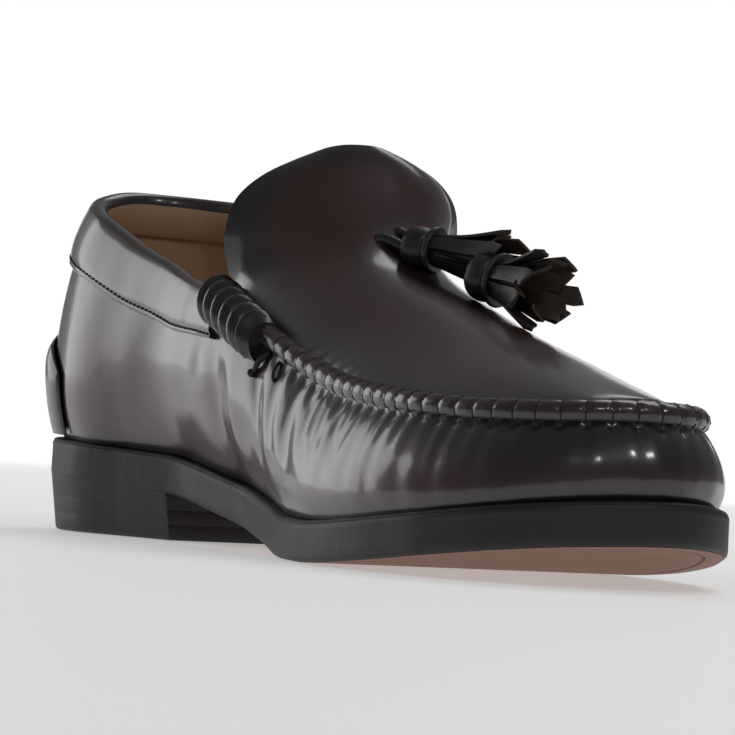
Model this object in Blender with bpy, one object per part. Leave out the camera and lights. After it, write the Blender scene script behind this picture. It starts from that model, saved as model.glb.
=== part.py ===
# Tassel loafer for the left foot: a black-edged leather outsole on a block heel, an insole,
# one hollow upper with a raised apron seam and a high tongue, a padded collar band, a heel
# patch, a stitched roll at each end of the seam, and two tassels on a short lace.
# Sizes are in millimetres, from the heel's back along X, with -Y the inner (medial) side of
# the foot and Z up from the ground. MM turns them into Blender's metres.
import math

import bmesh
import bpy
import numpy as np
from mathutils import Vector
from mathutils.bvhtree import BVHTree

MM = 0.001

# Driving sizes of the sole
LENGTH = 297.0
EDGE_THICKNESS = 10.4
HEEL_LENGTH = 80.0
HEEL_BREAST = 13.3
HEEL_PITCH = 4.0
HEEL_TAPER = 2.4
BALL = 200.0
BALL_FLAT = 20.0
TOE_SPRING = 10.4
SPRING_POWER = 1.4
SOLE_BEVEL = 1.0
SOLE_FLARE = 0.2

# Driving sizes of the upper
WALL = 2.0
GAP = 0.3
FEATHER_INSET = 3.2
BACK_X = 1.8
TOE_X = 289.0
SEAM_START = 119.0
CROWN_POWER = 2.2
TONGUE_POWER = 2.6
TONGUE_BOW = 32.0

# Sizes of the trims
COLLAR_BAND = 14.0
COLLAR_THICKNESS = 1.6
COLLAR_LINING = 9.0
PATCH_HEIGHT = 0.5
PATCH_SPAN = 0.6
PATCH_THICKNESS = 2.0
ROLL_LENGTH = 30.0
ROLL_WRAPS = 6
ROLL_THICKNESS = 2.8
STRIPS = 11
STRIP_WIDTH = 3.0
STRIP_THICKNESS = 1.2
LACE_RADIUS = 1.3
TASSEL_GAP = 0.45
INSOLE_THICKNESS = 3.0

# The whole part sits with the middle of its box over the origin
CENTRE_X = 145.6
CENTRE_Y = 1.05

# Mesh density: half the columns round the shoe, rows up its wall, faces across its apron
HALF = 42
WALL_ROWS = 7
ACROSS = 14

# Half widths of the sole's edge: share of the length, inner side, outer side
SOLE_OUTLINE = [
    (0.00, 0.0, 0.0), (0.02, 20.5, 18.0), (0.06, 32.0, 29.5), (0.12, 34.2, 32.0), (0.20, 29.0, 33.0),
    (0.30, 23.6, 34.5), (0.40, 23.8, 37.0), (0.50, 30.0, 41.5), (0.60, 40.0, 47.0), (0.68, 46.0, 50.0),
    (0.76, 47.8, 48.5), (0.84, 45.8, 42.4), (0.91, 39.8, 33.0), (0.96, 29.5, 23.2), (0.99, 14.5, 11.6),
    (1.00, 0.0, 0.0),
]
# Half widths of the collar and of the apron seam: share of their length, inner side, outer side
TOP_OUTLINE = [
    (0.00, 0.0, 0.0), (0.01, 11.5, 11.0), (0.03, 19.0, 18.6), (0.065, 23.8, 23.6), (0.11, 25.8, 26.8),
    (0.17, 26.0, 29.2), (0.25, 26.2, 32.0), (0.33, 28.2, 35.5), (0.41, 31.0, 38.5), (0.50, 32.5, 39.5),
    (0.60, 32.3, 40.0), (0.70, 34.4, 40.0), (0.80, 35.7, 37.0), (0.88, 32.6, 30.8), (0.94, 26.5, 23.5),
    (0.98, 17.0, 15.5), (1.00, 0.0, 0.0),
]
# Height of the collar and of the seam's lower edge: distance from the heel, inner, outer side
TOP_HEIGHT = [
    (1.8, 99.5, 99.5), (9.0, 96.5, 98.8), (22.0, 92.0, 97.5), (32.0, 89.0, 95.3), (46.0, 84.4, 91.3),
    (60.0, 79.8, 86.5), (77.0, 75.4, 81.0), (92.0, 71.2, 76.0), (110.0, 67.6, 71.5), (122.0, 64.5, 67.2),
    (150.0, 54.0, 55.5), (177.0, 45.5, 46.5), (194.0, 42.0, 42.5), (224.0, 39.0, 39.3), (240.0, 38.0, 38.2),
    (258.0, 37.2, 37.3), (276.0, 37.4, 37.4), (289.5, 38.4, 38.4),
]
# How far the wall swells past a straight line from sole to top: share, inner side, outer side
SWELL = [
    (0.0, 6.3, 6.3), (0.1, 6.0, 5.4), (0.25, 5.4, 4.6), (0.4, 6.4, 4.4), (0.5, 6.0, 4.4),
    (0.65, 5.2, 4.2), (0.8, 4.4, 3.8), (0.9, 3.8, 3.4), (1.0, 3.5, 3.5),
]
# The profile over the instep: distance from the heel, height of the middle of the apron
INSTEP_PROFILE = [
    (140.0, 89.0), (150.0, 82.4), (157.0, 78.4), (165.0, 75.2), (175.0, 71.8), (193.0, 66.4), (210.0, 61.5),
    (225.0, 57.6), (240.0, 54.0), (255.0, 50.6), (270.0, 47.4), (283.0, 44.6), (289.5, 43.0),
]
# Cross-section of the raised seam, outside: inward from the seam's lower edge, upward
RIDGE = [(-1.0, 1.0), (-1.3, 3.0), (0.1, 4.9), (2.3, 5.5), (4.0, 4.8), (5.0, 3.5)]
# Rows of the tongue above the apron: its inner edge, its outer edge, and its middle's distance
# from the heel and height
TONGUE_ROWS = [
    ((112.0, -23.5, 70.5), (118.0, 32.0, 73.0), (149.5, 83.0)),
    ((113.0, -26.0, 76.0), (122.0, 35.0, 79.0), (146.6, 86.6)),
    ((115.0, -28.5, 83.5), (126.0, 37.3, 86.0), (143.8, 90.6)),
    ((115.0, -27.0, 91.5), (128.0, 36.6, 92.5), (141.0, 95.2)),
    ((115.5, -24.0, 96.8), (129.5, 33.8, 98.2), (138.4, 100.2)),
    ((118.0, -18.8, 101.8), (130.5, 28.2, 103.2), (135.8, 104.8)),
    ((121.5, -12.0, 106.0), (131.5, 20.0, 107.0), (133.2, 108.6)),
    ((125.5, -4.5, 109.8), (131.5, 11.5, 110.0), (130.5, 111.1)),
]


def monotone(xs, ys, x):
    """Cubic through the points that never overshoots them."""
    xs = np.asarray(xs, float)
    ys = np.asarray(ys, float)
    x = np.clip(x, xs[0], xs[-1])
    step = np.diff(xs)
    rise = np.diff(ys) / step
    slope = np.zeros(len(xs))
    slope[0] = rise[0]
    slope[-1] = rise[-1]
    for k in range(1, len(xs) - 1):
        if rise[k - 1] * rise[k] > 0:
            left = 2 * step[k] + step[k - 1]
            right = step[k] + 2 * step[k - 1]
            slope[k] = (left + right) / (left / rise[k - 1] + right / rise[k])
    k = np.clip(np.searchsorted(xs, x, side="right") - 1, 0, len(step) - 1)
    t = (x - xs[k]) / step[k]
    start = ys[k] * (1 + 2 * t) * (1 - t) ** 2 + step[k] * slope[k] * t * (1 - t) ** 2
    end = ys[k + 1] * t * t * (3 - 2 * t) + step[k] * slope[k + 1] * t * t * (t - 1)
    return start + end


def column(table, index):
    return [row[index] for row in table]


def half_width(table, share, outer):
    """Half width at a share of the length, with round ends."""
    squares = np.square(column(table, 2 if outer else 1))
    return np.sqrt(np.maximum(monotone(column(table, 0), squares, share), 0.0))


def turn_to_share(turn):
    """A turn runs once round the shoe: 0 at the heel, pi at the toe, the inner side first."""
    return (1 - np.cos(turn)) / 2


def by_side(turn, table, index_of_x, x):
    """Reads a table's inner or outer column, whichever side of the shoe the turn is on."""
    xs = column(table, index_of_x)
    inner = monotone(xs, column(table, 1), x)
    outer = monotone(xs, column(table, 2), x)
    return np.where(np.sin(turn) >= 0, inner, outer)


def loop_xy(table, turn, start, end):
    """Plan position on a closed outline at the given turns."""
    share = turn_to_share(turn)
    inner = -half_width(table, share, False)
    outer = half_width(table, share, True)
    y = np.where(np.sin(turn) >= 0, inner, outer)
    return np.stack([start + share * (end - start), y], -1)


def inward(table, turn, start, end):
    """Unit plan normal that points into the shoe."""
    small = 0.02
    ahead = loop_xy(table, turn + small, start, end)
    behind = loop_xy(table, turn - small, start, end)
    along = ahead - behind
    along /= np.linalg.norm(along, axis=-1, keepdims=True)
    return np.stack([-along[..., 1], along[..., 0]], -1)


def sole_xy(turn, inset=0.0):
    return loop_xy(SOLE_OUTLINE, turn, 0.0, LENGTH) + inset * inward(SOLE_OUTLINE, turn, 0.0, LENGTH)


def sole_bottom(x):
    """Height of the outsole's underside: seat over the heel, arch, flat ball, toe spring."""
    flat_start = BALL - BALL_FLAT
    share = np.clip((x - HEEL_LENGTH) / (flat_start - HEEL_LENGTH), 0, 1)
    arch = HEEL_BREAST * (0.9 * (1 - share) ** 1.3 + 0.1 * (1 - share * share * (3 - 2 * share)))
    seat = HEEL_BREAST + HEEL_PITCH * (HEEL_LENGTH - x) / HEEL_LENGTH
    lift = TOE_SPRING * np.clip((x - BALL) / (LENGTH - BALL), 0, 1) ** SPRING_POWER
    return np.where(x < HEEL_LENGTH, seat, arch) + lift


def sole_top(x):
    return sole_bottom(x) + EDGE_THICKNESS


def feather(turn):
    """Lower edge of the upper, on the outsole."""
    plan = sole_xy(turn, FEATHER_INSET)
    return np.concatenate([plan, sole_top(plan[..., :1]) + GAP], -1)


def top_edge(turn):
    """Upper edge of the wall: the collar behind, the foot of the raised seam in front."""
    plan = loop_xy(TOP_OUTLINE, turn, BACK_X, TOE_X)
    height = by_side(turn, TOP_HEIGHT, 0, plan[..., 0])
    return np.concatenate([plan, height[..., None]], -1)


def top_inward(turn):
    plan = inward(TOP_OUTLINE, turn, BACK_X, TOE_X)
    return np.concatenate([plan, np.zeros_like(plan[..., :1])], -1)


def wall_point(turn, up, depth=0.0):
    """Point on the wall's outside at a share of its height, moved inward by depth."""
    turn, up = np.broadcast_arrays(np.asarray(turn, float), np.asarray(up, float))
    low = feather(turn)
    high = top_edge(turn)
    normal = top_inward(turn)
    swell = by_side(turn, SWELL, 0, turn_to_share(turn))[..., None]
    middle = low + (high - low) * np.array([0.5, 0.5, 0.42]) - 2 * swell * normal
    t = up[..., None]
    return (1 - t) ** 2 * low + 2 * t * (1 - t) * middle + t * t * high + depth * normal


def ridge_point(turn, step, swell=1.0):
    """Point on the outside of the raised seam."""
    aside, rise = RIDGE[step]
    return top_edge(turn) + swell * (aside * top_inward(turn) + np.array([0, 0, rise]))


def apron_row(inner_end, outer_end, middle_x, middle_z, power):
    """A row of points from the inner to the outer edge, arched over the foot."""
    across = np.linspace(-1, 1, ACROSS + 1)
    share = (across + 1)[:, None] / 2
    row = inner_end * (1 - share) + outer_end * share
    arch = 1 - np.abs(across) ** power
    ends = (inner_end + outer_end) / 2
    row[:, 0] += (middle_x - ends[0]) * arch
    row[:, 2] += (middle_z - ends[2]) * arch
    return row


def seam_column():
    """Number of the column where the seam starts on each side."""
    share = (SEAM_START - BACK_X) / (TOE_X - BACK_X)
    return int(round(math.acos(1 - 2 * share) / math.pi * HALF))


def tongue_rows():
    rows = []
    for inner_end, outer_end, middle in reversed(TONGUE_ROWS):
        rows.append(apron_row(np.array(inner_end), np.array(outer_end), *middle, TONGUE_POWER))
    return rows


def apron_rows():
    """Rows from the tongue's top to the toe, without the point at the toe itself."""
    rows = tongue_rows()
    first = seam_column()
    for number in range(first, HALF):
        turn = math.pi * number / HALF
        inner_end = ridge_point(np.array(turn), -1)
        outer_end = ridge_point(np.array(2 * math.pi - turn), -1)
        ahead = (number - first) / (HALF - first)
        bow = TONGUE_BOW * (1 - ahead) ** 2.2
        middle_x = (inner_end[0] + outer_end[0]) / 2 + bow
        middle_z = float(monotone(column(INSTEP_PROFILE, 0), column(INSTEP_PROFILE, 1), middle_x))
        blend = min(1.0, 3 * ahead)
        power = TONGUE_POWER * (1 - blend) + CROWN_POWER * blend
        rows.append(apron_row(inner_end, outer_end, middle_x, middle_z, power))
    return np.array(rows)


def surface_normals(grid):
    """Unit normals of a grid of points whose rows run forward and columns to the outer side."""
    forward = np.gradient(grid, axis=0)
    across = np.gradient(grid, axis=1)
    normal = np.cross(forward, across)
    return normal / np.linalg.norm(normal, axis=-1, keepdims=True)


def new_object(name, points, faces, colour, roughness):
    """Object from points in millimetres; its origin is at the heel's back on the ground."""
    mesh = bpy.data.meshes.new(name)
    mesh.from_pydata([tuple(float(c) * MM for c in p) for p in points], [], [tuple(f) for f in faces])
    work = bmesh.new()
    work.from_mesh(mesh)
    bmesh.ops.recalc_face_normals(work, faces=work.faces)
    work.to_mesh(mesh)
    work.free()
    mesh.shade_smooth()
    mesh.set_sharp_from_angle(angle=math.radians(40))
    body = bpy.data.objects.new(name, mesh)
    body.location = (-CENTRE_X * MM, -CENTRE_Y * MM, 0)
    mesh.materials.append(new_material(name, colour, roughness))
    shoe.objects.link(body)
    return body


def new_material(name, colour, roughness):
    material = bpy.data.materials.new(name)
    material.use_nodes = True
    shader = material.node_tree.nodes["Principled BSDF"]
    shader.inputs["Base Color"].default_value = (*colour, 1)
    shader.inputs["Roughness"].default_value = roughness
    shader.inputs["Metallic"].default_value = 0.0
    return material


def stacked_loops(loops):
    """Closed solid through loops of equal count, each cap a ladder between its two sides."""
    count = len(loops[0])
    points = [p for loop in loops for p in loop]
    faces = []
    for level in range(len(loops) - 1):
        for k in range(count):
            a = level * count + k
            b = level * count + (k + 1) % count
            faces.append((a, b, b + count, a + count))
    top = (len(loops) - 1) * count
    for base in (0, top):
        for k in range(count // 2):
            rung = [k, k + 1, count - 1 - k - 1, count - 1 - k]
            corners = []
            for corner in rung:
                if corner not in corners:
                    corners.append(corner)
            if len(corners) > 2:
                faces.append(tuple(base + corner for corner in corners))
    return points, faces


def loft(sections):
    """Closed solid through closed sections of equal count."""
    count = len(sections[0])
    points = [p for section in sections for p in section]
    faces = []
    for level in range(len(sections) - 1):
        for k in range(count):
            a = level * count + k
            b = level * count + (k + 1) % count
            faces.append((a, b, b + count, a + count))
    faces.append(tuple(range(count)))
    faces.append(tuple(range((len(sections) - 1) * count, len(sections) * count)))
    return points, faces


def shell(outside, inside, faces):
    """Closed solid between two matching surfaces; the open edges get a rim."""
    count = len(outside)
    used = []
    for face in faces:
        for k in range(len(face)):
            used.append((face[k], face[(k + 1) % len(face)]))
    known = set(used)
    rim = []
    for a, b in used:
        if (b, a) not in known:
            rim.append((b, a, a + count, b + count))
    lining = [tuple(count + corner for corner in reversed(face)) for face in faces]
    return list(outside) + list(inside), list(faces) + lining + rim


def full_turns():
    """The columns round the shoe, ordered so that a ladder's rungs join equal stations."""
    return (np.arange(2 * HALF) + 0.5) * math.pi / HALF


def make_outsole():
    turn = full_turns()
    plan = sole_xy(turn)
    bottom = sole_bottom(plan[:, 0])
    levels = [
        (SOLE_BEVEL, 0.0), (0.0, SOLE_BEVEL),
        (SOLE_FLARE, EDGE_THICKNESS - 0.6), (SOLE_FLARE + 0.6, EDGE_THICKNESS),
    ]
    loops = [np.column_stack([sole_xy(turn, inset), bottom + rise]) for inset, rise in levels]
    points, faces = stacked_loops(loops)
    new_object("outsole", points, faces, (0.02, 0.02, 0.022), 0.45)


def make_heel():
    """Block under the seat: the sole's outline up to a straight breast, tapering downward."""
    last = math.acos(1 - 2 * HEEL_LENGTH / LENGTH)
    turn = np.linspace(-last, last, 29) % (2 * math.pi)
    loops = []
    for share, inset in ((0.0, HEEL_TAPER + 0.8), (0.06, HEEL_TAPER), (1.0, 0.5)):
        plan = sole_xy(turn, inset)
        plan[:, 0] = np.minimum(plan[:, 0], HEEL_LENGTH - 0.8)
        height = (sole_bottom(sole_xy(turn)[:, 0]) - GAP) * share
        loops.append(np.column_stack([plan, height]))
    points, faces = stacked_loops(loops)
    new_object("heel", points, faces, (0.02, 0.02, 0.022), 0.5)


def make_insole():
    turn = full_turns()
    loops = []
    for rise, inset in ((GAP, 0.4), (GAP + INSOLE_THICKNESS - 0.6, 0.4), (GAP + INSOLE_THICKNESS, 1.0)):
        plan = sole_xy(turn, FEATHER_INSET + WALL + inset)
        loops.append(np.column_stack([plan, sole_top(sole_xy(turn)[:, 0]) + rise]))
    points, faces = stacked_loops(loops)
    new_object("insole", points, faces, (0.45, 0.3, 0.2), 0.7)


def upper_surfaces():
    """Matching outside and inside points of the upper, and its faces."""
    first = seam_column()
    turns = np.arange(2 * HALF) * math.pi / HALF
    rises = np.linspace(0, 1, WALL_ROWS)
    outside, inside, index = [], [], {}
    for c, turn in enumerate(turns):
        for r, rise in enumerate(rises):
            index["wall", c, r] = len(outside)
            outside.append(wall_point(turn, rise))
            inside.append(wall_point(turn, rise, WALL))
    rows = apron_rows()
    under = rows - WALL * surface_normals(rows)
    extra = len(TONGUE_ROWS)
    toe = HALF
    toe_out = ridge_point(np.array(math.pi), -1)
    toe_in = toe_out + np.array([-0.6, 0, -WALL])
    for r in range(len(rows)):
        for c in range(ACROSS + 1):
            index["apron", r, c] = len(outside)
            outside.append(rows[r, c])
            inside.append(under[r, c])
    index["toe"] = len(outside)
    outside.append(toe_out)
    inside.append(toe_in)

    def apron_end(c):
        if c == toe:
            return index["toe"]
        if c < toe:
            return index["apron", extra + c - first, 0]
        return index["apron", extra + 2 * HALF - c - first, ACROSS]

    front = range(first, 2 * HALF - first + 1)
    steps = len(RIDGE)
    for c in front:
        base = inside[index["wall", c, WALL_ROWS - 1]]
        end = inside[apron_end(c)]
        for step in range(steps - 1):
            index["ridge", c, step] = len(outside)
            outside.append(ridge_point(turns[c], step))
            share = (step + 1) / steps
            inside.append(base * (1 - share) + end * share)
        index["ridge", c, steps - 1] = apron_end(c)
        index["ridge", c, -1] = index["wall", c, WALL_ROWS - 1]
    faces = []
    for c in range(2 * HALF):
        n = (c + 1) % (2 * HALF)
        for r in range(WALL_ROWS - 1):
            corners = ((c, r), (n, r), (n, r + 1), (c, r + 1))
            faces.append(tuple(index["wall", a, b] for a, b in corners))
    for c in list(front)[:-1]:
        for step in range(-1, steps - 1):
            corners = ((c, step), (c + 1, step), (c + 1, step + 1), (c, step + 1))
            faces.append(tuple(index["ridge", a, b] for a, b in corners))
    for r in range(len(rows) - 1):
        for c in range(ACROSS):
            corners = ((r, c), (r + 1, c), (r + 1, c + 1), (r, c + 1))
            faces.append(tuple(index["apron", a, b] for a, b in corners))
    for c in range(ACROSS):
        last = len(rows) - 1
        faces.append((index["apron", last, c], index["toe"], index["apron", last, c + 1]))
    return np.array(outside), np.array(inside), faces


def make_upper():
    outside, inside, faces = upper_surfaces()
    points, solid = shell(outside, inside, faces)
    new_object("upper", points, solid, (0.05, 0.008, 0.012), 0.2)


def surface_below():
    """Reads the height of the upper's outside at a plan position."""
    outside, _, faces = upper_surfaces()
    tree = BVHTree.FromPolygons([Vector(p) for p in outside], faces)

    def height(x, y):
        hit = tree.ray_cast(Vector((x, y, 200.0)), Vector((0, 0, -1)))
        return hit[0].z if hit[0] is not None else 0.0

    return height


def make_collar_band():
    """Padded binding folded over the collar: one leg outside, one inside."""
    share = (SEAM_START - 3.0 - BACK_X) / (TOE_X - BACK_X)
    last = math.acos(1 - 2 * share)
    sections = []
    for turn in np.linspace(-last, last, 53):
        turn %= 2 * math.pi
        wall_height = np.linalg.norm(wall_point(turn, 1.0) - wall_point(turn, 0.0))
        band = COLLAR_BAND * (1 - 0.2 * turn_to_share(turn) / share)
        normal = top_inward(np.array(turn))
        outer_drops = (band, band * 0.6, band * 0.25, 0.0)
        inner_drops = (0.0, COLLAR_LINING * 0.5, COLLAR_LINING)
        outer_leg = [wall_point(turn, 1 - drop / wall_height, -GAP) for drop in outer_drops]
        inner_leg = [wall_point(turn, 1 - drop / wall_height, WALL + GAP) for drop in inner_drops]
        up = np.array([0, 0, 1.0])
        near_wall = outer_leg[:-1] + [outer_leg[-1] + GAP * up, inner_leg[0] + GAP * up] + inner_leg[1:]
        far = [p - COLLAR_THICKNESS * f * normal for p, f in zip(outer_leg, (0.7, 1.25, 1.25, 1.0))]
        crest_rise = (COLLAR_THICKNESS + 0.9) * up
        crest = [top_edge(turn) + WALL * s * normal + crest_rise for s in (-0.1, 1.1)]
        far += crest + [p + COLLAR_THICKNESS * f * normal for p, f in zip(inner_leg, (1.0, 1.0, 0.6))]
        sections.append(near_wall + far[::-1])
    points, faces = loft(sections)
    new_object("collar_band", points, faces, (0.03, 0.006, 0.009), 0.2)


def make_heel_patch():
    """Rounded patch that covers the back of the wall from the sole up."""
    columns, rows = 18, 7
    outside, inside = [], []
    for i in range(columns + 1):
        across = 2 * i / columns - 1
        top = PATCH_HEIGHT * (1 - 0.35 * across ** 4)
        turn = (across * PATCH_SPAN) % (2 * math.pi)
        for j in range(rows + 1):
            rise = 0.02 + (top - 0.02) * j / rows
            edge = max(abs(across), 2 * j / rows - 1) > 0.99
            thickness = PATCH_THICKNESS * (0.6 if edge else 1.0)
            outside.append(wall_point(turn, rise, -GAP - thickness))
            inside.append(wall_point(turn, rise, -GAP))
    faces = []
    for i in range(columns):
        for j in range(rows):
            a = i * (rows + 1) + j
            faces.append((a, a + rows + 1, a + rows + 2, a + 1))
    points, solid = shell(outside, inside, faces)
    new_object("heel_patch", points, solid, (0.02, 0.006, 0.008), 0.25)


def make_seam_roll(name, outer):
    """Stitched roll of leather wrapped over the end of the raised seam, in round wraps."""
    sections = []
    stations = 4 * ROLL_WRAPS + 1
    for k in range(stations):
        along = k / (stations - 1)
        x = SEAM_START + 1.0 + ROLL_LENGTH * along
        turn = math.acos(1 - 2 * (x - BACK_X) / (TOE_X - BACK_X))
        if outer:
            turn = 2 * math.pi - turn
        wrap = abs(math.sin(math.pi * ROLL_WRAPS * along))
        ends = min(1.0, 6 * along + 0.35, 6 * (1 - along) + 0.35)
        thickness = ROLL_THICKNESS * (0.35 + 0.65 * wrap ** 0.7) * ends
        normal = top_inward(np.array(turn))
        up = np.array([0, 0, 1.0])
        foot = wall_point(turn, 0.93, -GAP)
        bed = [foot] + [ridge_point(np.array(turn), step) for step in range(len(RIDGE) - 2)]
        centre = top_edge(np.array(turn)) + 2.0 * normal + 1.5 * up
        near, far = [], []
        for p in bed:
            away = p - centre
            away /= np.linalg.norm(away)
            near.append(p + GAP * 1.4 * away)
            far.append(p + (GAP * 1.4 + thickness) * away)
        sections.append(near + far[::-1])
    points, faces = loft(sections)
    new_object(name, points, faces, (0.015, 0.006, 0.008), 0.3)


def tassel_axis(path, radius, height):
    """Axis of a tassel that lies just above the upper, from its cap to its ends."""
    start, end = (np.array(p, float) for p in path)
    spots = []
    for share in np.linspace(0, 1, 9):
        x, y, z = start * (1 - share) + end * share
        around = [height(x + dx, y + dy) for dx in (-3, 0, 3) for dy in (-3, 0, 3)]
        spots.append((x, y, max(z, max(around) + radius + 0.4)))
    return np.array(spots)


def point_on(spots, share):
    place = share * (len(spots) - 1)
    return np.array([np.interp(place, range(len(spots)), spots[:, k]) for k in range(3)])


def tassel_frame(spots):
    along = spots[-1] - spots[0]
    along /= np.linalg.norm(along)
    side = np.cross(along, (0, 0, 1.0))
    side /= np.linalg.norm(side)
    return along, side, np.cross(side, along)


def tassel_cap(spots, cap_share, radius):
    """Rolled cap: a rounded barrel with a groove and a rim."""
    _, side, up = tassel_frame(spots)
    profile = [
        (0.0, 0.35), (0.06, 0.72), (0.2, 0.96), (0.45, 1.0),
        (0.7, 0.9), (0.78, 0.8), (0.86, 0.98), (1.0, 0.9),
    ]
    sections = []
    for share, size in profile:
        middle = point_on(spots, share * cap_share)
        ring = []
        for k in range(16):
            angle = 2 * math.pi * k / 16
            ring.append(middle + size * radius * (math.cos(angle) * side + math.sin(angle) * up))
        sections.append(ring)
    return loft(sections)


def tassel_strip(spots, start, end, angle, radius, flare, turn_out):
    """One strip of the fringe: a narrow slab that runs from the cap and spreads at its end."""
    _, side, up = tassel_frame(spots)
    sections = []
    for k in range(6):
        share = k / 5
        middle = point_on(spots, start + (end - start) * share)
        spread = radius * (0.66 + flare * share ** 0.9)
        lean = angle + turn_out * share
        radial = math.cos(lean) * side + 0.82 * math.sin(lean) * up
        tangent = -math.sin(lean) * side + 0.82 * math.cos(lean) * up
        width = STRIP_WIDTH * (0.46 + 0.1 * share)
        centre = middle + spread * radial
        sections.append([
            centre - width * tangent - STRIP_THICKNESS * radial,
            centre + width * tangent - STRIP_THICKNESS * radial,
            centre + width * tangent,
            centre - width * tangent,
        ])
    return loft(sections)


def make_tassel(name, path, radius, cap_share, flare, height):
    """Cap with its strips fused on by Boolean unions."""
    spots = tassel_axis(path, radius * 0.98, height)
    body = new_object(name, *tassel_cap(spots, cap_share, radius), (0.008, 0.007, 0.008), 0.3)
    for k in range(STRIPS):
        angle = 2 * math.pi * k / STRIPS
        end = 1.0 - 0.05 * (k * 5 % 3) - 0.03 * (k % 2)
        turn_out = 0.12 * math.sin(2.4 * k)
        strip = tassel_strip(spots, cap_share * 0.8, end, angle, radius, flare, turn_out)
        cutter = new_object(name + "_strip", *strip, (0.008, 0.007, 0.008), 0.3)
        union = body.modifiers.new("union", "BOOLEAN")
        union.operation = "UNION"
        union.object = cutter
        depsgraph = bpy.context.evaluated_depsgraph_get()
        fused = bpy.data.meshes.new_from_object(body.evaluated_get(depsgraph))
        body.modifiers.remove(union)
        body.data = fused
        bpy.data.objects.remove(cutter, do_unlink=True)
    fused.name = name
    fused.materials.clear()
    fused.materials.append(bpy.data.materials[name])
    gaps = [v.co.z / MM - height(v.co.x / MM, v.co.y / MM) for v in fused.vertices]
    for vertex in fused.vertices:
        vertex.co.z -= (min(gaps) - TASSEL_GAP) * MM


def make_lace(name, path, height):
    """Round thong that runs over the instep to a tassel."""
    curve = bpy.data.curves.new(name, "CURVE")
    curve.dimensions = "3D"
    curve.bevel_depth = LACE_RADIUS * MM
    curve.bevel_resolution = 2
    curve.use_fill_caps = True
    line = curve.splines.new("POLY")
    dense = []
    for a, b in zip(path[:-1], path[1:]):
        start = np.array(a, float)
        end = np.array(b, float)
        dense += [start, (start + end) / 2]
    dense.append(np.array(path[-1], float))
    line.points.add(len(dense) - 1)
    for place, (x, y, lift) in zip(line.points, dense):
        around = max(height(x + dx, y + dy) for dx in (-1, 0, 1) for dy in (-1, 0, 1))
        place.co = (x * MM, y * MM, (around + LACE_RADIUS + 0.35 + lift) * MM, 1)
    body = bpy.data.objects.new(name, curve)
    body.location = (-CENTRE_X * MM, -CENTRE_Y * MM, 0)
    curve.materials.append(new_material(name, (0.01, 0.008, 0.009), 0.4))
    shoe.objects.link(body)


# Start from an empty scene
for old in list(bpy.data.objects):
    bpy.data.objects.remove(old, do_unlink=True)

shoe = bpy.data.collections.new("tassel_loafer")
bpy.context.scene.collection.children.link(shoe)

make_outsole()
make_heel()
make_insole()
make_upper()
make_collar_band()
make_heel_patch()
make_seam_roll("seam_roll_inner", False)
make_seam_roll("seam_roll_outer", True)
height_below = surface_below()
make_tassel("tassel_a", ((154.5, 5.2, 82.4), (177.0, 22.0, 79.5)), 5.0, 0.34, 0.5, height_below)
make_tassel("tassel_b", ((182.0, 11.2, 75.8), (209.0, 23.0, 71.6)), 5.8, 0.36, 0.95, height_below)
lace_a_path = ((145.5, 1.0, 0.0), (148.5, 2.4, 0.8), (151.2, 3.6, 1.6))
lace_b_path = (
    (148.0, 12.0, 0.0), (155.0, 17.0, 0.0), (164.0, 21.5, 0.0), (173.0, 21.5, 0.0), (179.0, 14.5, 0.6),
)
make_lace("lace_a", lace_a_path, height_below)
make_lace("lace_b", lace_b_path, height_below)
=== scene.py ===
import math

import bpy
import numpy as np
from mathutils import Matrix, Vector


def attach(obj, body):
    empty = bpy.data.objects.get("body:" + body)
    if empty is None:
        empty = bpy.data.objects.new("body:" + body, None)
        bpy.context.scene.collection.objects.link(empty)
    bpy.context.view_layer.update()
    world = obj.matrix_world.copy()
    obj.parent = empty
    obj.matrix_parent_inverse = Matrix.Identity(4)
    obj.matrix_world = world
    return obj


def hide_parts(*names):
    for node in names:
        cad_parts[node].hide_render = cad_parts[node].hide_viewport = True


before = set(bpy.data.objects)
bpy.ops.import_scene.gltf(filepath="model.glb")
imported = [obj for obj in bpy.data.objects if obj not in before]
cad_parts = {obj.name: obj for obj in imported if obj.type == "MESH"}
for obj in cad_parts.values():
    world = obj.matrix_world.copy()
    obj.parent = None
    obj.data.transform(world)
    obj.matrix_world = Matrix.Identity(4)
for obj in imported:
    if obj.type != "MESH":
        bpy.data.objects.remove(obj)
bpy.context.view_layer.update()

MM = 0.001
FINE = 2

# Driving sizes of the sole
LENGTH = 297.0
EDGE_THICKNESS = 10.4
HEEL_LENGTH = 80.0
HEEL_BREAST = 13.3
HEEL_PITCH = 4.0
HEEL_TAPER = 2.4
BALL = 200.0
BALL_FLAT = 20.0
TOE_SPRING = 10.4
SPRING_POWER = 1.4

# Driving sizes of the upper
WALL = 2.0
GAP = 0.3
FEATHER_INSET = 3.2
BACK_X = 1.8
TOE_X = 289.0
SEAM_START = 119.0
CROWN_POWER = 2.2
TONGUE_POWER = 2.6
TONGUE_BOW = 32.0

# Sizes of the trims
COLLAR_BAND = 14.0
COLLAR_THICKNESS = 1.6
COLLAR_LINING = 9.0
PATCH_HEIGHT = 0.5
PATCH_SPAN = 0.6
PATCH_THICKNESS = 2.0
ROLL_LENGTH = 30.0
ROLL_WRAPS = 6
ROLL_THICKNESS = 2.8
INSOLE_THICKNESS = 3.0

# The whole part sits with the middle of its box over the origin
CENTRE_X = 145.6
CENTRE_Y = 1.05

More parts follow.
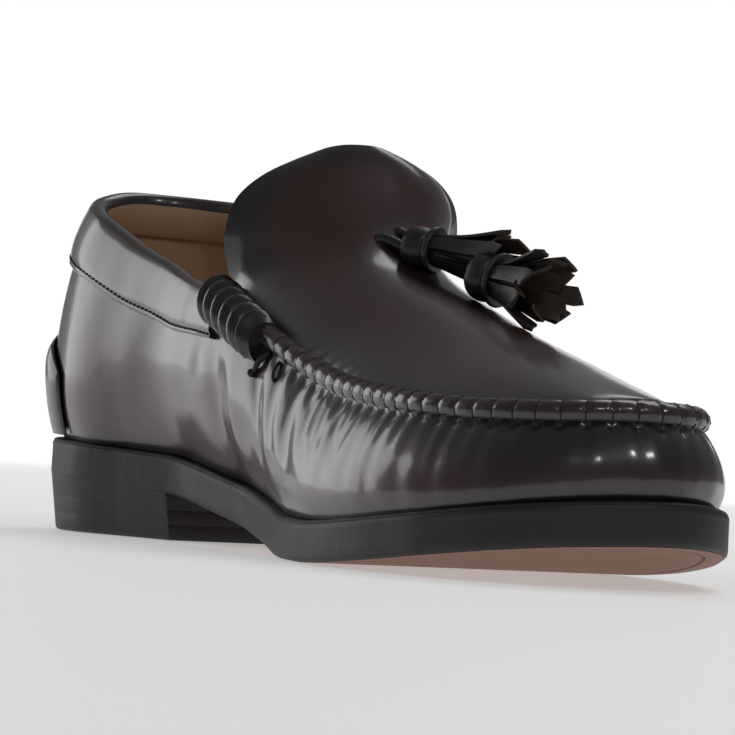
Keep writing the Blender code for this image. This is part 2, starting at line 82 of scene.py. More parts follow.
# Half widths of the sole's edge: share of the length, inner side, outer side
SOLE_OUTLINE = [
    (0.00, 0.0, 0.0), (0.02, 20.5, 18.0), (0.06, 32.0, 29.5), (0.12, 34.2, 32.0), (0.20, 29.0, 33.0),
    (0.30, 23.6, 34.5), (0.40, 23.8, 37.0), (0.50, 30.0, 41.5), (0.60, 40.0, 47.0), (0.68, 46.0, 50.0),
    (0.76, 47.8, 48.5), (0.84, 45.8, 42.4), (0.91, 39.8, 33.0), (0.96, 29.5, 23.2), (0.99, 14.5, 11.6),
    (1.00, 0.0, 0.0),
]
# Half widths of the collar and of the apron seam: share of their length, inner side, outer side
TOP_OUTLINE = [
    (0.00, 0.0, 0.0), (0.01, 11.5, 11.0), (0.03, 19.0, 18.6), (0.065, 23.8, 23.6), (0.11, 25.8, 26.8),
    (0.17, 26.0, 29.2), (0.25, 26.2, 32.0), (0.33, 28.2, 35.5), (0.41, 31.0, 38.5), (0.50, 32.5, 39.5),
    (0.60, 32.3, 40.0), (0.70, 34.4, 40.0), (0.80, 35.7, 37.0), (0.88, 32.6, 30.8), (0.94, 26.5, 23.5),
    (0.98, 17.0, 15.5), (1.00, 0.0, 0.0),
]
# Height of the collar and of the seam's lower edge: distance from the heel, inner, outer side
TOP_HEIGHT = [
    (1.8, 99.5, 99.5), (9.0, 96.5, 98.8), (22.0, 92.0, 97.5), (32.0, 89.0, 95.3), (46.0, 84.4, 91.3),
    (60.0, 79.8, 86.5), (77.0, 75.4, 81.0), (92.0, 71.2, 76.0), (110.0, 67.6, 71.5), (122.0, 64.5, 67.2),
    (150.0, 54.0, 55.5), (177.0, 45.5, 46.5), (194.0, 42.0, 42.5), (224.0, 39.0, 39.3), (240.0, 38.0, 38.2),
    (258.0, 37.2, 37.3), (276.0, 37.4, 37.4), (289.5, 38.4, 38.4),
]
# How far the wall swells past a straight line from sole to top: share, inner side, outer side
SWELL = [
    (0.0, 6.3, 6.3), (0.1, 6.0, 5.4), (0.25, 5.4, 4.6), (0.4, 6.4, 4.4), (0.5, 6.0, 4.4),
    (0.65, 5.2, 4.2), (0.8, 4.4, 3.8), (0.9, 3.8, 3.4), (1.0, 3.5, 3.5),
]
# The profile over the instep: distance from the heel, height of the middle of the apron
INSTEP_PROFILE = [
    (140.0, 89.0), (150.0, 82.4), (157.0, 78.4), (165.0, 75.2), (175.0, 71.8), (193.0, 66.4), (210.0, 61.5),
    (225.0, 57.6), (240.0, 54.0), (255.0, 50.6), (270.0, 47.4), (283.0, 44.6), (289.5, 43.0),
]
# Cross-section of the raised seam, outside: inward from the seam's lower edge, upward
RIDGE = [(-1.0, 1.0), (-1.3, 3.0), (0.1, 4.9), (2.3, 5.5), (4.0, 4.8), (5.0, 3.5)]
# Rows of the tongue above the apron: its inner edge, its outer edge, and its middle's distance
# from the heel and height
TONGUE_ROWS = [
    ((112.0, -23.5, 70.5), (118.0, 32.0, 73.0), (149.5, 83.0)),
    ((113.0, -26.0, 76.0), (122.0, 35.0, 79.0), (146.6, 86.6)),
    ((115.0, -28.5, 83.5), (126.0, 37.3, 86.0), (143.8, 90.6)),
    ((115.0, -27.0, 91.5), (128.0, 36.6, 92.5), (141.0, 95.2)),
    ((115.5, -24.0, 96.8), (129.5, 33.8, 98.2), (138.4, 100.2)),
    ((118.0, -18.8, 101.8), (130.5, 28.2, 103.2), (135.8, 104.8)),
    ((121.5, -12.0, 106.0), (131.5, 20.0, 107.0), (133.2, 108.6)),
    ((125.5, -4.5, 109.8), (131.5, 11.5, 110.0), (130.5, 111.1)),
]


def monotone(xs, ys, x):
    """Cubic through the points that never overshoots them."""
    xs = np.asarray(xs, float)
    ys = np.asarray(ys, float)
    x = np.clip(x, xs[0], xs[-1])
    step = np.diff(xs)
    rise = np.diff(ys) / step
    slope = np.zeros(len(xs))
    slope[0] = rise[0]
    slope[-1] = rise[-1]
    for k in range(1, len(xs) - 1):
        if rise[k - 1] * rise[k] > 0:
            left = 2 * step[k] + step[k - 1]
            right = step[k] + 2 * step[k - 1]
            slope[k] = (left + right) / (left / rise[k - 1] + right / rise[k])
    k = np.clip(np.searchsorted(xs, x, side="right") - 1, 0, len(step) - 1)
    t = (x - xs[k]) / step[k]
    start = ys[k] * (1 + 2 * t) * (1 - t) ** 2 + step[k] * slope[k] * t * (1 - t) ** 2
    end = ys[k + 1] * t * t * (3 - 2 * t) + step[k] * slope[k + 1] * t * t * (t - 1)
    return start + end


def column(table, index):
    return [row[index] for row in table]


def half_width(table, share, outer):
    """Half width at a share of the length, with round ends."""
    squares = np.square(column(table, 2 if outer else 1))
    return np.sqrt(np.maximum(monotone(column(table, 0), squares, share), 0.0))


def turn_to_share(turn):
    """A turn runs once round the shoe: 0 at the heel, pi at the toe, the inner side first."""
    return (1 - np.cos(turn)) / 2


def by_side(turn, table, index_of_x, x):
    """Reads a table's inner or outer column, whichever side of the shoe the turn is on."""
    xs = column(table, index_of_x)
    inner = monotone(xs, column(table, 1), x)
    outer = monotone(xs, column(table, 2), x)
    return np.where(np.sin(turn) >= 0, inner, outer)


def loop_xy(table, turn, start, end):
    """Plan position on a closed outline at the given turns."""
    share = turn_to_share(turn)
    inner = -half_width(table, share, False)
    outer = half_width(table, share, True)
    y = np.where(np.sin(turn) >= 0, inner, outer)
    return np.stack([start + share * (end - start), y], -1)


def inward(table, turn, start, end):
    """Unit plan normal that points into the shoe."""
    small = 0.02
    ahead = loop_xy(table, turn + small, start, end)
    behind = loop_xy(table, turn - small, start, end)
    along = ahead - behind
    along /= np.linalg.norm(along, axis=-1, keepdims=True)
    return np.stack([-along[..., 1], along[..., 0]], -1)


def sole_xy(turn, inset=0.0):
    return loop_xy(SOLE_OUTLINE, turn, 0.0, LENGTH) + inset * inward(SOLE_OUTLINE, turn, 0.0, LENGTH)


def sole_bottom(x):
    """Height of the outsole's underside: seat over the heel, arch, flat ball, toe spring."""
    flat_start = BALL - BALL_FLAT
    share = np.clip((x - HEEL_LENGTH) / (flat_start - HEEL_LENGTH), 0, 1)
    arch = HEEL_BREAST * (0.9 * (1 - share) ** 1.3 + 0.1 * (1 - share * share * (3 - 2 * share)))
    seat = HEEL_BREAST + HEEL_PITCH * (HEEL_LENGTH - x) / HEEL_LENGTH
    lift = TOE_SPRING * np.clip((x - BALL) / (LENGTH - BALL), 0, 1) ** SPRING_POWER
    return np.where(x < HEEL_LENGTH, seat, arch) + lift


def sole_top(x):
    return sole_bottom(x) + EDGE_THICKNESS


def feather(turn):
    """Lower edge of the upper, on the outsole."""
    plan = sole_xy(turn, FEATHER_INSET)
    return np.concatenate([plan, sole_top(plan[..., :1]) + GAP], -1)


def top_edge(turn):
    """Upper edge of the wall: the collar behind, the foot of the raised seam in front."""
    plan = loop_xy(TOP_OUTLINE, turn, BACK_X, TOE_X)
    height = by_side(turn, TOP_HEIGHT, 0, plan[..., 0])
    return np.concatenate([plan, height[..., None]], -1)


def top_inward(turn):
    plan = inward(TOP_OUTLINE, turn, BACK_X, TOE_X)
    return np.concatenate([plan, np.zeros_like(plan[..., :1])], -1)


def wall_point(turn, up, depth=0.0):
    """Point on the wall's outside at a share of its height, moved inward by depth."""
    turn, up = np.broadcast_arrays(np.asarray(turn, float), np.asarray(up, float))
    low = feather(turn)
    high = top_edge(turn)
    normal = top_inward(turn)
    swell = by_side(turn, SWELL, 0, turn_to_share(turn))[..., None]
    middle = low + (high - low) * np.array([0.5, 0.5, 0.42]) - 2 * swell * normal
    t = up[..., None]
    return (1 - t) ** 2 * low + 2 * t * (1 - t) * middle + t * t * high + depth * normal


def ridge_point(turn, step, swell=1.0):
    """Point on the outside of the raised seam."""
    aside, rise = RIDGE[step]
    return top_edge(turn) + swell * (aside * top_inward(turn) + np.array([0, 0, rise]))


def apron_row(inner_end, outer_end, middle_x, middle_z, power):
    """A row of points from the inner to the outer edge, arched over the foot."""
    across = np.linspace(-1, 1, ACROSS + 1)
    share = (across + 1)[:, None] / 2
    row = inner_end * (1 - share) + outer_end * share
    arch = 1 - np.abs(across) ** power
    ends = (inner_end + outer_end) / 2
    row[:, 0] += (middle_x - ends[0]) * arch
    row[:, 2] += (middle_z - ends[2]) * arch
    return row


def seam_column(half):
    share = (SEAM_START - BACK_X) / (TOE_X - BACK_X)
    return int(round(math.acos(1 - 2 * share) / math.pi * half))


def surface_normals(grid):
    """Unit normals of a grid of points whose rows run forward and columns to the outer side."""
    forward = np.gradient(grid, axis=0)
    across = np.gradient(grid, axis=1)
    normal = np.cross(forward, across)
    return normal / np.linalg.norm(normal, axis=-1, keepdims=True)


def blend_keys(keys, places):
    """Smooth curve through rows of numbers, read at fractional row numbers."""
    keys = np.asarray(keys, float)
    places = np.asarray(places, float)
    flat = keys.reshape(len(keys), -1)
    low = np.clip(np.floor(places).astype(int), 0, len(keys) - 2)
    t = (places - low)[:, None]
    p0 = flat[np.clip(low - 1, 0, None)]
    p1 = flat[low]
    p2 = flat[low + 1]
    p3 = flat[np.clip(low + 2, None, len(keys) - 1)]
    m1 = (p2 - p0) / 2
    m2 = (p3 - p1) / 2
    start = (2 * t**3 - 3 * t**2 + 1) * p1 + (t**3 - 2 * t**2 + t) * m1
    blended = start + (3 * t**2 - 2 * t**3) * p2 + (t**3 - t**2) * m2
    return blended.reshape((len(places),) + keys.shape[1:])


def smooth_step(low, high, value):
    t = np.clip((value - low) / (high - low), 0, 1)
    return t * t * (3 - 2 * t)


def hump(value, centre, width):
    """Rounded bump of height one."""
    return np.exp(-((value - centre) / width) ** 2)


def make_mesh(name, points, faces, materials, slots=None, attribute=None, sharp=None):
    mesh = bpy.data.meshes.new(name)
    shifted = (np.asarray(points, float) - np.array([CENTRE_X, CENTRE_Y, 0])) * MM
    mesh.from_pydata(shifted.tolist(), [], [tuple(int(i) for i in f) for f in faces])
    for material in materials:
        mesh.materials.append(material)
    if slots is not None:
        mesh.polygons.foreach_set("material_index", slots)
    if attribute is not None:
        layer = mesh.attributes.new("burnish_and_shade", "FLOAT", "POINT")
        layer.data.foreach_set("value", np.asarray(attribute, float))
    mesh.shade_smooth()
    if sharp:
        mesh.set_sharp_from_angle(angle=math.radians(sharp))
    mesh.update()
    body = bpy.data.objects.new(name, mesh)
    bpy.context.scene.collection.objects.link(body)
    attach(body, "root")
    return body


def grid_faces(rows, cols, base=0, closed=False, flip=False):
    """Quads of a grid stored row after row; closed joins the last row to the first."""
    r = np.arange(rows if closed else rows - 1)
    c = np.arange(cols - 1)
    rr, cc = np.meshgrid(r, c, indexing="ij")
    nn = (rr + 1) % rows
    here, ahead = rr * cols + cc, nn * cols + cc
    quad = np.stack([here, ahead, ahead + 1, here + 1], -1).reshape(-1, 4) + base
    return quad[:, ::-1] if flip else quad


def end_caps(count, size):
    """The first and the last ring of a stack of rings, as two faces."""
    return [tuple(range(size))[::-1], tuple(range((count - 1) * size, count * size))]


def ring_faces(count, size):
    """Faces between closed rings stored one after the other, with both end caps."""
    faces = []
    for k in range(count - 1):
        here, ahead = k * size, (k + 1) * size
        for c in range(size):
            n = (c + 1) % size
            faces.append((here + c, here + n, ahead + n, ahead + c))
    return faces + end_caps(count, size)


def tube(path, radius, sides):
    """Round tube along a path of points, in millimetres."""
    path = np.asarray(path, float)
    tangent = np.gradient(path, axis=0)
    tangent /= np.linalg.norm(tangent, axis=1, keepdims=True)
    helper = np.where(np.abs(tangent[:, 2:3]) > 0.9, [[1.0, 0, 0]], [[0, 0, 1.0]])
    side = np.cross(tangent, helper)
    side /= np.linalg.norm(side, axis=1, keepdims=True)
    up = np.cross(side, tangent)
    radius = np.broadcast_to(np.asarray(radius, float), len(path))
    angle = np.arange(sides) * 2 * math.pi / sides
    round_side = np.cos(angle)[None, :, None] * side[:, None]
    round_up = np.sin(angle)[None, :, None] * up[:, None]
    points = (path[:, None] + radius[:, None, None] * (round_side + round_up)).reshape(-1, 3)
    return points, ring_faces(len(path), sides)


def join_lists(parts):
    """One list of points and faces from several."""
    points, faces, base = [], [], 0
    for p, f in parts:
        points.append(np.asarray(p))
        faces += [tuple(i + base for i in face) for face in f]
        base += len(p)
    return np.concatenate(points), faces


# Height of a short thread along its length, in radii
THREAD_ARCH = (-0.8, 0.45, 0.7, 0.45, -0.8)


def stitches(line, normals, pitch, share, radius, lift=0.0):
    """Row of short threads along a line, each arched a little and sunk at its ends."""
    line = np.asarray(line, float)
    step = np.linalg.norm(np.diff(line, axis=0), axis=1)
    run = np.concatenate([[0], np.cumsum(step)])
    parts = []
    for k in range(int(run[-1] / pitch)):
        at = (k + 0.5 + np.linspace(-share / 2, share / 2, 5)) * pitch
        middle = np.stack([np.interp(at, run, line[:, i]) for i in range(3)], -1)
        normal = np.stack([np.interp(at, run, normals[:, i]) for i in range(3)], -1)
        arch = np.array(THREAD_ARCH)[:, None] * radius + lift
        thread_radius = [radius * 0.7, radius, radius, radius, radius * 0.7]
        parts.append(tube(middle + arch * normal, thread_radius, 6))
    return join_lists(parts)


# The photo's camera, in the shoe's millimetres
CAMERA = np.array([974.7, -458.4, 30.0])
YAW, PITCH, ROLL = math.radians(151.0), math.radians(1.24), math.radians(3.30)
LENS = 3549.3
PHOTO_WIDTH = 735
SENSOR_WIDTH = 36.0


def camera_axes():
    """Unit vectors along the photo's line of sight, to its right and upward."""
    ahead = [math.cos(PITCH) * math.cos(YAW), math.cos(PITCH) * math.sin(YAW), math.sin(PITCH)]
    ahead = np.array(ahead)
    level = np.array([math.sin(YAW), -math.cos(YAW), 0])
    upright = np.cross(level, ahead)
    right = math.cos(ROLL) * level + math.sin(ROLL) * upright
    up = -math.sin(ROLL) * level + math.cos(ROLL) * upright
    return ahead, right, up


def new_material(name, colour, roughness, coat=0.0, coat_roughness=0.1):
    material = bpy.data.materials.new(name)
    material.use_nodes = True
    shader = material.node_tree.nodes["Principled BSDF"]
    shader.inputs["Base Color"].default_value = (*colour, 1)
    shader.inputs["Roughness"].default_value = roughness
    shader.inputs["Coat Weight"].default_value = coat
    shader.inputs["Coat Roughness"].default_value = coat_roughness
    shader.inputs["Specular IOR Level"].default_value = 0.5
    return material


def add_grain(material, scale, strength, distance, detail=3.0, second=None):
    """Leather grain: fine noise, and slower noise under it."""
    tree = material.node_tree
    shader = tree.nodes["Principled BSDF"]
    place = tree.nodes.new("ShaderNodeTexCoord")
    noise = tree.nodes.new("ShaderNodeTexNoise")
    noise.inputs["Scale"].default_value = scale
    noise.inputs["Detail"].default_value = detail
    bump = tree.nodes.new("ShaderNodeBump")
    bump.inputs["Strength"].default_value = strength
    bump.inputs["Distance"].default_value = distance
    tree.links.new(place.outputs["Object"], noise.inputs["Vector"])
    tree.links.new(noise.outputs["Fac"], bump.inputs["Height"])
    last = bump
    if second:
        slow = tree.nodes.new("ShaderNodeTexNoise")
        slow.inputs["Scale"].default_value = second[0]
        slow.inputs["Detail"].default_value = 2.0
        swell = tree.nodes.new("ShaderNodeBump")
        swell.inputs["Strength"].default_value = second[1]
        swell.inputs["Distance"].default_value = second[2]
        tree.links.new(place.outputs["Object"], slow.inputs["Vector"])
        tree.links.new(slow.outputs["Fac"], swell.inputs["Height"])
        tree.links.new(bump.outputs["Normal"], swell.inputs["Normal"])
        last = swell
    tree.links.new(last.outputs["Normal"], shader.inputs["Normal"])
    tree.links.new(last.outputs["Normal"], shader.inputs["Coat Normal"])


def add_burnish_and_shade(material, pale, dark):
    """Colour from the burnish and the painted shadow under the tassels, carried on the vertices, uneven
    like hand-polished leather.
    """
    tree = material.node_tree
    shader = tree.nodes["Principled BSDF"]
    paint = tree.nodes.new("ShaderNodeAttribute")
    paint.attribute_name = "burnish_and_shade"
    place = tree.nodes.new("ShaderNodeTexCoord")
    cloud = tree.nodes.new("ShaderNodeTexNoise")
    cloud.inputs["Scale"].default_value = 38.0
    cloud.inputs["Detail"].default_value = 3.0
    amount = tree.nodes.new("ShaderNodeMath")
    amount.operation = "MULTIPLY_ADD"
    amount.inputs[1].default_value = 0.5
    ramp = tree.nodes.new("ShaderNodeValToRGB")
    ramp.color_ramp.elements[0].position = 0.2
    ramp.color_ramp.elements[0].color = (*pale, 1)
    ramp.color_ramp.elements[1].position = 1.0
    ramp.color_ramp.elements[1].color = (*dark, 1)
    tree.links.new(place.outputs["Object"], cloud.inputs["Vector"])
    tree.links.new(cloud.outputs["Fac"], amount.inputs[0])
    tree.links.new(paint.outputs["Fac"], amount.inputs[2])
    tree.links.new(amount.outputs["Value"], ramp.inputs["Fac"])
    tree.links.new(ramp.outputs["Color"], shader.inputs["Base Color"])


# Finishes
leather = new_material("burgundy_leather", (0.05, 0.012, 0.014), 0.36, 0.9, 0.14)
add_burnish_and_shade(leather, (0.045, 0.0075, 0.009), (0.0065, 0.003, 0.0036))
add_grain(leather, 900, 0.08, 0.0002, 4.0, (70, 0.05, 0.0012))
black = new_material("dark_leather", (0.008, 0.005, 0.006), 0.34, 0.6, 0.14)
add_grain(black, 900, 0.2, 0.0003)
tassel_black = new_material("tassel_leather", (0.008, 0.007, 0.008), 0.45, 0.15, 0.25)
add_grain(tassel_black, 700, 0.25, 0.0004)
lining = new_material("lining_leather", (0.56, 0.37, 0.23), 0.6)
add_grain(lining, 900, 0.25, 0.0003)
flesh = new_material("strip_backs", (0.045, 0.027, 0.018), 0.75)
edge = new_material("black_sole", (0.010, 0.0105, 0.011), 0.5, 0.0, 0.2)
add_grain(edge, 260, 0.25, 0.0005, 2.0)
under = new_material("tan_sole", (0.27, 0.14, 0.092), 0.6)
add_grain(under, 700, 0.2, 0.0003)
thread = new_material("dark_thread", (0.006, 0.005, 0.005), 0.6)
sole_thread = new_material("sole_thread", (0.22, 0.12, 0.08), 0.7)
seam_shadow = new_material("channel", (0.12, 0.06, 0.04), 0.8)

# Upper: columns round the shoe, rows up the wall, and places along the seam in millimetres
COLUMNS = 240 * FINE
WALL_UP = 18 * FINE + 1
RIDGE_UP = 7 * FINE
ACROSS = 30 * FINE
STITCH_PITCH = 6.0
SEAM_THREAD_RADIUS = 0.24
turns = np.arange(2 * COLUMNS) * math.pi / COLUMNS
seam_first = seam_column(COLUMNS)
seam_line = top_edge(turns)
seam_steps = np.linalg.norm(np.diff(seam_line, axis=0), axis=1)
seam_run = np.concatenate([[0], np.cumsum(seam_steps)])
seam_run = np.abs(seam_run - seam_run[COLUMNS])


def stitch_dip(run, width=0.9):
    """One at each stitch of the raised seam, falling to nothing between them."""
    phase = (run / STITCH_PITCH + 0.5) % 1.0 - 0.5
    return np.exp(-(phase * STITCH_PITCH / width) ** 2)


def seam_weight(x):
    """One where the apron's seam gathers the wall, none beside the collar."""
    return smooth_step(SEAM_START + 26, SEAM_START + 52, x)


def fold(x, z, foot, head, width):
    """Long soft fold that leans from its foot to its head, both given as x and z."""
    along = (z - foot[1]) / (head[1] - foot[1])
    centre = foot[0] + (head[0] - foot[0]) * along
    reach = smooth_step(-0.15, 0.2, along) * (1 - smooth_step(0.75, 1.15, along))
    return np.exp(-((x - centre) / width) ** 2) * reach


def wall_relief(turn, up):
    """How far the wall stands out: gathers under the seam, folds at the waist, soft waves."""
    point = wall_point(turn, up)
    x, z = point[..., 0], point[..., 2]
    run = np.interp(turn, turns, seam_run)
    below = (1 - up) * np.linalg.norm(top_edge(turn) - feather(turn), axis=-1)
    toe_side = seam_weight(x)
    uneven = 0.65 + 0.35 * np.sin(run * 0.37) * np.sin(run * 0.11 + 1.0)
    gather = np.exp(-below / (5.5 + 3.5 * uneven)) * toe_side
    bend = 0.35 * np.sin(run * 0.23) * below / 8
    phase = ((run + bend) / STITCH_PITCH + 0.5) % 1.0 - 0.5
    strong = 0.55 + 0.45 * smooth_step(190, 240, x)
    relief = -0.22 * strong * uneven * gather * np.cos(2 * math.pi * phase)
    relief -= 0.4 * np.exp(-((below - 0.8) / 1.3) ** 2) * toe_side * np.exp(-(phase * 4.4) ** 2)
    ripple = np.sin(run * 0.55 + 0.8 * np.sin(z * 0.22)) * np.exp(-((below - 15) / 9) ** 2)
    relief += 0.1 * ripple * toe_side * strong
    near = np.sin(turn) >= 0
    folds = (
        0.6 * fold(x, z, (168, 24), (157, 50), 3.0) - 0.5 * fold(x, z, (162, 22), (151, 49), 3.0)
        + 0.5 * fold(x, z, (177, 22), (167, 47), 3.2) - 0.4 * fold(x, z, (184, 24), (174, 46), 3.4)
        + 0.4 * fold(x, z, (188, 24), (176, 44), 3.4) - 0.3 * fold(x, z, (194, 26), (182, 43), 3.2)
        + 0.25 * fold(x, z, (206, 26), (191, 42), 3.6) - 0.2 * fold(x, z, (213, 25), (199, 41), 3.4)
        + 0.5 * fold(x, z, (140, 24), (134, 52), 5.0) - 0.5 * fold(x, z, (128, 26), (122, 56), 5.5)
    )
    relief += np.where(near, folds, 0.75 * np.interp(x, [110, 150, 215], [0.4, 1.0, 0.6]) * folds)
    waist = 1 - smooth_step(150, 200, x)
    relief += 0.2 * waist * np.sin(x * 0.085 + z * 0.05) * np.sin(z * 0.12 + 0.6)
    relief += 0.12 * waist * np.sin(x * 0.21 - z * 0.11 + 1.0) * smooth_step(20, 45, x)
    return relief


def wall_burnish(turn, up):
    """How dark the wall is rubbed: by the seam, collar, sole, toe, heel and seam rolls."""
    point = wall_point(turn, up)
    x = point[..., 0]
    height = np.linalg.norm(top_edge(turn) - feather(turn), axis=-1)
    below = (1 - up) * height
    above = up * height
    seam = seam_weight(x) * np.exp(-(below / 7.0) ** 1.5)
    under_band = np.exp(-(np.maximum(below - 11, 0) / 8.0) ** 1.5)
    band = (1 - smooth_step(SEAM_START - 8, SEAM_START, x)) * under_band
    foot = 0.75 * np.exp(-(above / 4.5) ** 1.5)
    toe = 0.5 * smooth_step(215, 290, x) * np.exp(-((below - 4) / 14) ** 2)
    heel = 0.45 * (1 - smooth_step(5, 45, x))
    roll = 0.9 * hump(x, 137, 22) * np.exp(-(below / 13) ** 2)
    return np.clip(np.maximum.reduce([seam, band, foot, roll]) + toe + heel, 0, 1)


def ridge_profile(step):
    """Raised seam's outside, smoothed through its corners; step runs from 0 to 1."""
    keys = [(0.0, 0.0)] + RIDGE
    return blend_keys(keys, np.asarray(step) * (len(keys) - 1))


def ridge_grid(columns, steps):
    """Points on the raised seam, pinched at each stitch."""
    turn = turns[columns]
    run = seam_run[columns]
    base = top_edge(turn)
    normal = top_inward(turn)
    profile = ridge_profile(steps)
    dip = stitch_dip(run)[:, None] * seam_weight(base[:, 0])[:, None]
    belly = np.sin(math.pi * np.clip(steps, 0, 1))[None, :]
    squeeze = 0.3 * dip * belly * np.where(steps < 0.55, 1.0, -0.4)[None, :]
    aside = profile[None, :, 0] * (1 - 0.1 * dip) + squeeze
    rise = profile[None, :, 1] - 0.18 * dip * belly * (steps > 0.35)[None, :]
    return base[:, None] + aside[..., None] * normal[:, None] + rise[..., None] * np.array([0, 0, 1.0])


def tongue_key_rows():
    """Rows of points across the tongue, from its top down."""
    keys = []
    for inner_end, outer_end, middle in reversed(TONGUE_ROWS):
        keys.append(apron_row(np.array(inner_end), np.array(outer_end), *middle, TONGUE_POWER))
    return keys


def front_rows(inner_ends, outer_ends, columns):
    """Rows of points across the apron, from the tongue's foot to the toe."""
    rows = []
    for number, inner_end, outer_end in zip(columns, inner_ends, outer_ends):
        ahead = (number - seam_first) / (COLUMNS - seam_first)
        bow = TONGUE_BOW * (1 - ahead) ** 2.2
        middle_x = (inner_end[0] + outer_end[0]) / 2 + bow
        middle_z = float(monotone(column(INSTEP_PROFILE, 0), column(INSTEP_PROFILE, 1), middle_x))
        blend = min(1.0, 3 * ahead)
        power = TONGUE_POWER * (1 - blend) + CROWN_POWER * blend
        rows.append(apron_row(inner_end, outer_end, middle_x, middle_z, power))
    return rows


